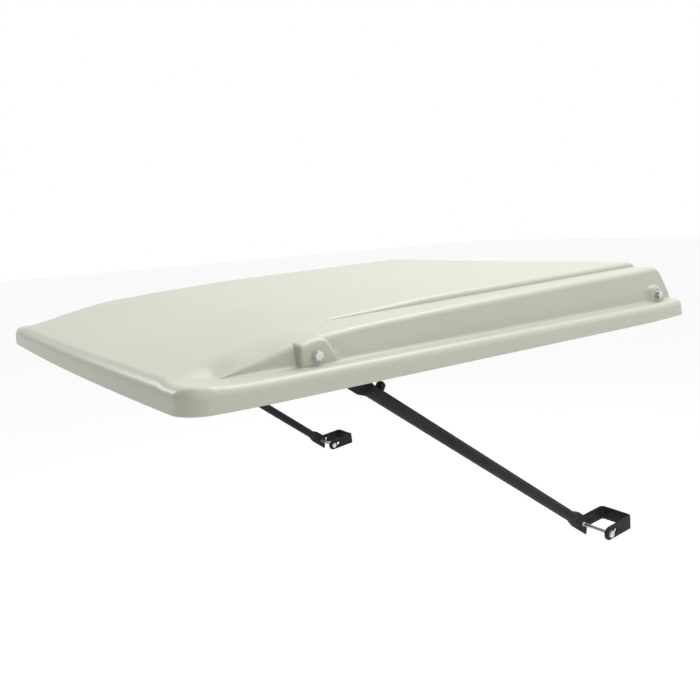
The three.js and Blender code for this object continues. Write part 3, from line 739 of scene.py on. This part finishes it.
ALONG_Y = Matrix.Rotation(math.pi / 2, 4, "Z")
cross_length = 2 * (RAIL_X - TUBE / 2 - GAP)
cross_tubes = (
    ("front_cross_tube", FRONT_BAR_Y),
    ("saddle_front_tube", ROLL_BAR_Y - SADDLE_SPREAD),
    ("saddle_rear_tube", ROLL_BAR_Y + SADDLE_SPREAD),
)
for index, (name, y) in enumerate(cross_tubes):
    frame_piece(name + "_steel", square_tube(cross_length), [name], move(0, y, BOLT_Z))
    for side_index, (side_name, side) in enumerate(SIDES):
        end = side * cross_length / 2
        rim = rounded_rectangle(TUBE + 0.6, TUBE + 0.6, 3.3, 3)
        path = [(end - side * 0.3, a, b) for a, b in rim + rim[:1]]
        finish_piece(
            f"{side_name}_{name}_weld", bead(path, 1.9, 10 * index + side_index), POWDER, "roof", [],
            move(0, y, BOLT_Z), sharp=80)

rail_middle = (RAIL_FRONT + RAIL_REAR) / 2
for side_name, side in SIDES:
    tube = square_tube(RAIL_REAR - RAIL_FRONT)
    rail = frame_piece(f"{side_name}_rail_steel", tube, [f"{side_name}_side_rail"],
                       move(side * RAIL_X, rail_middle, BOLT_Z) @ ALONG_Y)
    drills = []
    for y in (FRONT_BOLT_Y, REAR_BOLT_Y):
        drill = tube_mesh([circle_x(-TUBE, M8["rod"] + 0.5, 32), circle_x(TUBE, M8["rod"] + 0.5, 32)])
        drills.append(moved(drill, move(side * RAIL_X, y, BOLT_Z)))
    cut_holes(rail, drills)


# ---- Saddle plates and U-bolts ----
def plate_mesh(outline, holes, thickness, edge=0.5, cuts=()):
    """A flat plate along Z, with softened edges; cuts are X positions where it may bend later."""
    mesh = bmesh.new()
    loops = [outline, *holes]
    edges = []
    for loop in loops:
        verts = [mesh.verts.new((a, b, 0.0)) for a, b in loop]
        edges += [mesh.edges.new((verts[k], verts[(k + 1) % len(verts)])) for k in range(len(verts))]
    bmesh.ops.triangle_fill(mesh, use_beauty=True, edges=edges)
    for x in cuts:
        bmesh.ops.bisect_plane(
            mesh, geom=[*mesh.verts, *mesh.edges, *mesh.faces], plane_co=(x, 0, 0), plane_no=(1, 0, 0))
    extruded = bmesh.ops.extrude_face_region(mesh, geom=list(mesh.faces))
    top = [v for v in extruded["geom"] if isinstance(v, bmesh.types.BMVert)]
    bmesh.ops.translate(mesh, verts=top, vec=(0, 0, thickness))
    bmesh.ops.recalc_face_normals(mesh, faces=mesh.faces)
    rims = [e for e in mesh.edges if len(e.link_faces) == 2 and e.calc_face_angle() > math.radians(60)
            and abs(e.verts[0].co.z - e.verts[1].co.z) < 1e-6]
    bmesh.ops.bevel(mesh, geom=rims, offset=edge, segments=2, profile=0.5, affect="EDGES")
    return mesh


def round_hole(x, y, radius, sides=28):
    angles = [2 * math.pi * k / sides for k in range(sides)]
    return [(x + radius * math.cos(a), y + radius * math.sin(a)) for a in angles]


U_REACH = ROLL_BAR_DEPTH / 2 + 1 + U_ROD / 2


def u_bolt_mesh():
    """Square-bend U-bolt in the YZ plane, hanging from z = 0, with threaded leg tops."""
    bend = 8.0
    floor = -(ROLL_BAR_HEIGHT + 1 + U_ROD / 2)
    top = SADDLE_PLATE + WASHER + M10["nut"] + 5
    thread_start = -6.0
    stations = []
    leg = np.linspace(top, thread_start, 90)
    stations += [(-U_REACH, z, True) for z in leg]
    stations += [(-U_REACH, z, False) for z in np.linspace(thread_start - 1, floor + bend, 4)]
    for k in range(1, 10):
        angle = math.pi / 2 * k / 9
        y = bend - U_REACH - bend * math.cos(angle)
        stations.append((y, floor + bend - bend * math.sin(angle), False))
    points = stations + [(-y, z, threaded) for y, z, threaded in reversed(stations)]
    rings = []
    for i, (y, z, threaded) in enumerate(points):
        a, b = points[max(0, i - 1)], points[min(len(points) - 1, i + 1)]
        along = Vector((0.0, b[0] - a[0], b[1] - a[1])).normalized()
        across = Vector((1.0, 0.0, 0.0))
        up = along.cross(across)
        ring = []
        for k in range(20):
            angle = 2 * math.pi * k / 20
            r = U_ROD / 2
            if threaded:
                turn = (z / M10["pitch"] + angle / (2 * math.pi)) % 1.0
                r -= 0.65 * abs(2 * turn - 1) + 0.8 * max(0.0, 1 - (top - z) / 1.5)
            outward = across * math.cos(angle) + up * math.sin(angle)
            ring.append(tuple(Vector((0, y, z)) + outward * float(r)))
        rings.append(ring)
    return tube_mesh(rings)


UPRIGHT = Matrix.Rotation(-math.pi / 2, 4, "Y")
for side_name, side in SIDES:
    length = 2 * SADDLE_SPREAD + TUBE
    outline = rounded_rectangle(SADDLE_WIDTH, length, 5.0)
    holes = [round_hole(0, end * U_REACH, U_ROD / 2 + 0.5) for end in (-1, 1)]
    plate = plate_mesh(outline, holes, SADDLE_PLATE)
    frame_piece(f"{side_name}_saddle_steel", plate, [f"{side_name}_saddle_plate"],
                move(side * SADDLE_X, ROLL_BAR_Y, SADDLE_FACE_Z))
    for end_name, end in (("front", -1), ("rear", 1)):
        for edge_name, edge in (("inner", -1), ("outer", 1)):
            x = edge * (SADDLE_WIDTH / 2 + 0.2)
            y = end * SADDLE_SPREAD
            path = [(x, y - 9, 0), (x, y + 9, 0)]
            weld_name = f"{side_name}_{end_name}_{edge_name}_saddle_weld"
            finish_piece(weld_name, bead(path, 1.7, 40 + end), POWDER, "roof", [],
                         move(side * SADDLE_X, ROLL_BAR_Y, SADDLE_FACE_Z + SADDLE_PLATE + 0.1), sharp=80)
    frame_piece(f"{side_name}_u_rod", u_bolt_mesh(), [f"{side_name}_u_bolt"],
                move(side * SADDLE_X, ROLL_BAR_Y, SADDLE_FACE_Z), ZINC)
    plate_top = SADDLE_FACE_Z + SADDLE_PLATE + GAP
    for end_name, end in (("front", -1), ("rear", 1)):
        at = move(side * SADDLE_X, ROLL_BAR_Y + end * U_REACH, plate_top)
        label = f"{side_name}_{end_name}"
        frame_piece(f"{label}_u_washer_ring", collar_mesh(M10["rod"] + GAP, M10["washer"], WASHER),
                    [f"{label}_u_washer"], at @ UPRIGHT, ZINC)
        frame_piece(f"{label}_u_nut_hex", nut_mesh(M10), [f"{label}_u_nut"],
                    at @ move(0, 0, WASHER + GAP) @ UPRIGHT, ZINC)


# ---- Boss fasteners ----
def facing(side):
    """Turns an X-built piece to point outwards on its own side of the roof."""
    return Matrix.Identity(4) if side > 0 else Matrix.Rotation(math.pi, 4, "Z")


rail_inner_face = RAIL_X - TUBE / 2
head_x = BOSS_FACE + GAP + WASHER + GAP
bolt_length = head_x - rail_inner_face + M8["nut"] + 3
bush_end = BOSS_FACE - SHEET - GAP
paddle_inner = STRUT_X - PADDLE_HALF_THICKNESS - GAP
paddle_outer = STRUT_X + PADDLE_HALF_THICKNESS + GAP
for side_name, side in SIDES:
    for end_name, y, twist in (("front", FRONT_BOLT_Y, 12.0), ("rear", REAR_BOLT_Y, -20.0)):
        label = f"{side_name}_{end_name}"
        spin = Matrix.Rotation(math.radians(twist * side), 4, "X")

        def at(x, y=y, side=side):
            return move(side * x, y, BOLT_Z) @ facing(side)

        frame_piece(f"{label}_hex_bolt", bolt_mesh(M8, bolt_length, 16.0), [f"{label}_bolt"],
                    at(head_x) @ spin, ZINC)
        washer = collar_mesh(M8["rod"] + GAP, M8["washer"], WASHER)
        frame_piece(f"{label}_washer_ring", washer, [f"{label}_washer"], at(BOSS_FACE + GAP), ZINC)
        nut_at = move(side * (rail_inner_face - GAP), y, BOLT_Z) @ facing(-side)
        frame_piece(f"{label}_hex_nut", nut_mesh(M8), [f"{label}_nut"], nut_at @ spin, ZINC)

    def on_bolt(name, node, start, end, outer, material, y):
        frame_piece(name, collar_mesh(M8["rod"] + GAP, outer, end - start, 0.5), [node],
                    move(side * start, y, BOLT_Z) @ facing(side), material)

    rail_outer = RAIL_X + TUBE / 2 + GAP
    on_bolt(f"{side_name}_bush", f"{side_name}_pivot_bush", paddle_outer, bush_end, 10.0, NYLON, FRONT_BOLT_Y)
    on_bolt(f"{side_name}_thrust_ring", f"{side_name}_thrust_washer", rail_outer, paddle_inner, 10.5, NYLON,
            FRONT_BOLT_Y)
    on_bolt(f"{side_name}_rear_sleeve", f"{side_name}_rear_spacer", rail_outer, bush_end, 9.0, ZINC,
            REAR_BOLT_Y)


# ---- Struts ----
SHOULDER_START, SHOULDER_END = 102.0, 124.0
LOWER_SHOULDER, LOWER_PADDLE = 48.0, 26.0
PADDLE_TIP = 24.0


def smooth(value, low, high):
    return float(ramp(np.array(float(value)), low, high))


def strut_ring(distance, sides=48):
    """Section of the strut at a distance from the upper bolt: a round tube, pressed flat at its ends."""
    upper = 1 - smooth(distance, SHOULDER_START, SHOULDER_END)
    lower = smooth(distance, STRUT_LENGTH - LOWER_SHOULDER, STRUT_LENGTH - LOWER_PADDLE)
    flat = max(upper, lower)
    half_x = STRUT_RADIUS + (PADDLE_HALF_THICKNESS - STRUT_RADIUS) * flat
    half_z = STRUT_RADIUS + (PADDLE_HALF_WIDTH - STRUT_RADIUS) * flat
    if distance < 0:
        half_z = math.sqrt(max(6.0, PADDLE_HALF_WIDTH**2 - distance**2))
    power = 2 / (2 + 5 * flat)
    seam = 0.45 * flat
    ring = []
    for k in range(sides):
        angle = 2 * math.pi * (k + 0.5) / sides
        c, s = math.cos(angle), math.sin(angle)
        x = half_x * math.copysign(abs(c) ** power, c)
        z = half_z * math.copysign(abs(s) ** power, s)
        x -= math.copysign(seam * max(0.0, 1 - abs(abs(z) - 0.82 * half_z) / 1.6), x)
        ring.append((x, distance, z))
    return ring


def strut_mesh():
    stations = [-15.8, -15.3, -14.4, -13, -11, -8.5, -5.5, -2.5, 0, 30, 60, 90]
    stations += list(np.linspace(SHOULDER_START, SHOULDER_END, 14))
    stations += list(np.linspace(150, STRUT_LENGTH - 60, 14))
    stations += list(np.linspace(STRUT_LENGTH - LOWER_SHOULDER, STRUT_LENGTH - LOWER_PADDLE, 14))
    stations += [STRUT_LENGTH - 12, STRUT_LENGTH, STRUT_LENGTH + PADDLE_TIP]
    return tube_mesh([strut_ring(d) for d in stations])


def lug_mesh():
    half = 9.0
    arc = [(LUG_DISTANCE + half * math.cos(a), LUG_BOLT_Z - 2 + half * math.sin(a))
           for a in np.linspace(0, math.pi, 20)]
    outline = [(LUG_DISTANCE - half, -8.0), (LUG_DISTANCE + half, -8.0), *arc]
    return plate_mesh(outline, [round_hole(LUG_DISTANCE, LUG_BOLT_Z, M6["rod"] + GAP)], LUG_THICKNESS, 0.4)


# Turns a plate drawn in XY and thick along Z into one drawn in YZ and thick along X
STAND_IN_YZ = Matrix(((0, 0, 1, 0), (1, 0, 0, 0), (0, 1, 0, 0), (0, 0, 0, 1)))
LEG_X = -(PADDLE_HALF_THICKNESS + GAP + CLAMP_STRAP)


def clamp_mesh():
    """U-shaped post clamp: a strap with rounded ends and four bolt holes, bent round two corners."""
    leg = CLAMP_DEPTH - CLAMP_BEND
    middle = CLAMP_BEND - CLAMP_STRAP / 2
    arc = middle * math.pi / 2
    back = CLAMP_WIDTH - 2 * CLAMP_BEND
    total = 2 * leg + 2 * arc + back
    half = CLAMP_HEIGHT / 2
    angles = np.linspace(math.pi / 2, 3 * math.pi / 2, 25)
    left_end = [(half * math.cos(a), half * math.sin(a)) for a in angles]
    right_end = [(total - x, -y) for x, y in left_end]
    bore = M8["rod"] + 0.4
    holes = [round_hole(x, 0, bore) for x in (0.0, EXTRA_HOLE, total - EXTRA_HOLE, total)]
    bends = list(np.linspace(leg, leg + arc, 9))
    bends += list(np.linspace(leg + arc + back, leg + 2 * arc + back, 9))
    mesh = plate_mesh(left_end + right_end, holes, CLAMP_STRAP, 0.6, bends)
    right = LEG_X + CLAMP_WIDTH
    for vert in mesh.verts:
        u, v, w = vert.co
        w -= CLAMP_STRAP / 2
        if u <= leg:
            x, y = LEG_X + CLAMP_STRAP / 2 - w, u
        elif u <= leg + arc:
            a = (u - leg) / middle
            x, y = LEG_X + CLAMP_BEND - (middle + w) * math.cos(a), leg + (middle + w) * math.sin(a)
        elif u <= leg + arc + back:
            x, y = LEG_X + CLAMP_BEND + (u - leg - arc), CLAMP_DEPTH - CLAMP_STRAP / 2 + w
        elif u <= leg + 2 * arc + back:
            a = (u - leg - arc - back) / middle
            x, y = right - CLAMP_BEND + (middle + w) * math.sin(a), leg + (middle + w) * math.cos(a)
        else:
            x, y = right - CLAMP_STRAP / 2 + w, total - u
        vert.co = (x, y, v)
    return mesh


for side_name, side in SIDES:
    body = f"{side_name}_strut"
    pivot = move(side * STRUT_X, FRONT_BOLT_Y, BOLT_Z) @ Matrix.Rotation(-PITCH[side_name], 4, "X")
    tube = finish_piece(f"{side_name}_strut_tube", strut_mesh(), POWDER, body, [f"{side_name}_strut"], pivot)
    end_cut = bmesh.new()
    bmesh.ops.create_cube(end_cut, size=1.0)
    end_cut.transform(pivot @ move(0, STRUT_LENGTH + 14, 0) @ Matrix.Rotation(math.radians(27), 4, "X")
                      @ move(0, 30, 0) @ Matrix.Diagonal((40, 60, 80, 1)))
    cutters = [end_cut]
    for distance, radius in ((0.0, M8["rod"] + 0.5), (STRUT_LENGTH, M8["rod"] + 0.4)):
        drill = tube_mesh([circle_x(-30, radius, 32), circle_x(30, radius, 32)])
        cutters.append(moved(drill, pivot @ move(0, distance, 0)))
    drain = tube_mesh([circle_x(-30, 3.0, 20), circle_x(-6, 3.0, 20)])
    cutters.append(moved(drain, pivot @ move(0, STRUT_LENGTH - 80, 0) @ UPRIGHT))
    cut_holes(tube, cutters)

    lug_x = -(STRUT_RADIUS + GAP + LUG_THICKNESS) if side > 0 else STRUT_RADIUS + GAP
    finish_piece(f"{side_name}_lug_tab", lug_mesh(), POWDER, body, [f"{side_name}_lug"],
                 pivot @ move(lug_x, 0, 0) @ STAND_IN_YZ)
    lug_at = pivot @ move(lug_x, LUG_DISTANCE, LUG_BOLT_Z)
    lug_length = LUG_THICKNESS + 2 * GAP + M6["nut"] + 2
    finish_piece(f"{side_name}_lug_hex_bolt", bolt_mesh(M6, lug_length, 7.0), POWDER, body,
                 [f"{side_name}_lug_bolt"], lug_at @ move(LUG_THICKNESS + GAP, 0, 0))
    finish_piece(f"{side_name}_lug_hex_nut", nut_mesh(M6), POWDER, body, [f"{side_name}_lug_nut"],
                 lug_at @ move(-GAP, 0, 0) @ Matrix.Rotation(math.pi, 4, "Z"))

    body = f"{side_name}_clamp"
    clamp_turn = PITCH[side_name] + CLAMP_PITCH[side_name]
    hinge = pivot @ move(0, STRUT_LENGTH, 0) @ Matrix.Rotation(clamp_turn, 4, "X")
    finish_piece(f"{side_name}_clamp_strap", clamp_mesh(), POWDER, body, [f"{side_name}_post_clamp"], hinge)
    clamp_length = CLAMP_WIDTH + 2 * GAP + M8["nut"] + 3
    finish_piece(f"{side_name}_clamp_hex_bolt", bolt_mesh(M8, clamp_length, 24.0), ZINC, body,
                 [f"{side_name}_clamp_bolt"], hinge @ move(LEG_X + CLAMP_WIDTH + GAP, 0, 0))
    finish_piece(f"{side_name}_clamp_hex_nut", nut_mesh(M8), ZINC, body, [f"{side_name}_clamp_nut"],
                 hinge @ move(LEG_X - GAP, 0, 0) @ Matrix.Rotation(math.pi, 4, "Z"))


# ---- Studio ----
FLOOR_Z = -1.75
SKY_TILT = Vector((0.28, 0.40, 0.86)).normalized()
SKY_DIM = 0.22
SKY_BRIGHT = 1.66
FRONT_SHADE = 0.1
CAMERA_PLACE = (1.374136, -1.218114, 0.230810)
CAMERA_TURN = (80.1326, 3.3175, 54.4731)
CAMERA_LENS = 37.84


def studio_floor():
    mesh = bmesh.new()
    bmesh.ops.create_grid(mesh, x_segments=2, y_segments=2, size=40.0)
    data = bpy.data.meshes.new("floor")
    mesh.to_mesh(data)
    mesh.free()
    floor = bpy.data.objects.new("floor", data)
    floor.location.z = FLOOR_Z
    n = Nodes("pale_floor")
    shade = n.mix(n.span(n.noise(0.6), 0.3, 0.7, 0.0, 1.0), (0.955, 0.955, 0.955), (0.965, 0.965, 0.965))
    n.link(shade, n.shader.inputs["Base Color"])
    n.shader.inputs["Roughness"].default_value = 0.9
    n.shader.inputs["Specular IOR Level"].default_value = 0.0
    data.materials.append(n.material)
    bpy.context.scene.collection.objects.link(floor)


def studio_world():
    """Soft surround: white to the eye, brighter overhead and dimmer towards the front of the object."""
    world = bpy.data.worlds.new("studio")
    world.use_nodes = True
    tree = world.node_tree
    plain = tree.nodes["Background"]
    plain.inputs["Color"].default_value = (1.0, 1.0, 1.0, 1.0)
    plain.inputs["Strength"].default_value = 1.0
    soft = tree.nodes.new("ShaderNodeBackground")
    coords = tree.nodes.new("ShaderNodeTexCoord")
    direction = tree.nodes.new("ShaderNodeVectorMath")
    direction.operation = "DOT_PRODUCT"
    direction.inputs[1].default_value = SKY_TILT
    tree.links.new(coords.outputs["Generated"], direction.inputs[0])
    level = tree.nodes.new("ShaderNodeMapRange")
    for socket, value in zip(level.inputs[1:5], (-1.0, 1.0, SKY_DIM, SKY_BRIGHT)):
        socket.default_value = value
    tree.links.new(direction.outputs["Value"], level.inputs[0])
    front = tree.nodes.new("ShaderNodeVectorMath")
    front.operation = "DOT_PRODUCT"
    front.inputs[1].default_value = (0.0, -1.0, 0.0)
    tree.links.new(coords.outputs["Generated"], front.inputs[0])
    shade = tree.nodes.new("ShaderNodeMapRange")
    for socket, value in zip(shade.inputs[1:5], (0.35, 0.95, 1.0, FRONT_SHADE)):
        socket.default_value = value
    tree.links.new(front.outputs["Value"], shade.inputs[0])
    product = tree.nodes.new("ShaderNodeMath")
    product.operation = "MULTIPLY"
    tree.links.new(level.outputs[0], product.inputs[0])
    tree.links.new(shade.outputs[0], product.inputs[1])
    tree.links.new(product.outputs[0], soft.inputs["Strength"])
    rays = tree.nodes.new("ShaderNodeLightPath")
    pick = tree.nodes.new("ShaderNodeMixShader")
    tree.links.new(rays.outputs["Is Camera Ray"], pick.inputs[0])
    tree.links.new(soft.outputs[0], pick.inputs[1])
    tree.links.new(plain.outputs[0], pick.inputs[2])
    tree.links.new(pick.outputs[0], tree.nodes["World Output"].inputs["Surface"])
    bpy.context.scene.world = world


def soft_light(name, place, target, width, height, power):
    light = bpy.data.lights.new(name, "AREA")
    light.shape = "RECTANGLE"
    light.size, light.size_y = width, height
    light.energy = power
    lamp = bpy.data.objects.new(name, light)
    lamp.location = place
    lamp.rotation_mode = "QUATERNION"
    lamp.rotation_quaternion = (Vector(target) - Vector(place)).to_track_quat("-Z", "Y")
    bpy.context.scene.collection.objects.link(lamp)


def studio_camera():
    camera = bpy.data.cameras.new("camera")
    camera.sensor_width = 36.0
    camera.lens = CAMERA_LENS
    camera.clip_end = 200.0
    body = bpy.data.objects.new("camera", camera)
    body.location = CAMERA_PLACE
    body.rotation_euler = [math.radians(angle) for angle in CAMERA_TURN]
    bpy.context.scene.collection.objects.link(body)
    bpy.context.scene.camera = body


bpy.context.scene.view_settings.view_transform = "Standard"
studio_world()
studio_floor()
soft_light("overhead", (0.3, 0.6, 2.4), (0.0, 0.0, 0.0), 2.4, 1.8, 60.0)
soft_light("far_side", (-2.4, -2.3, 1.25), (0.0, -0.88, 0.0), 0.2, 0.7, 22.0)
studio_camera()
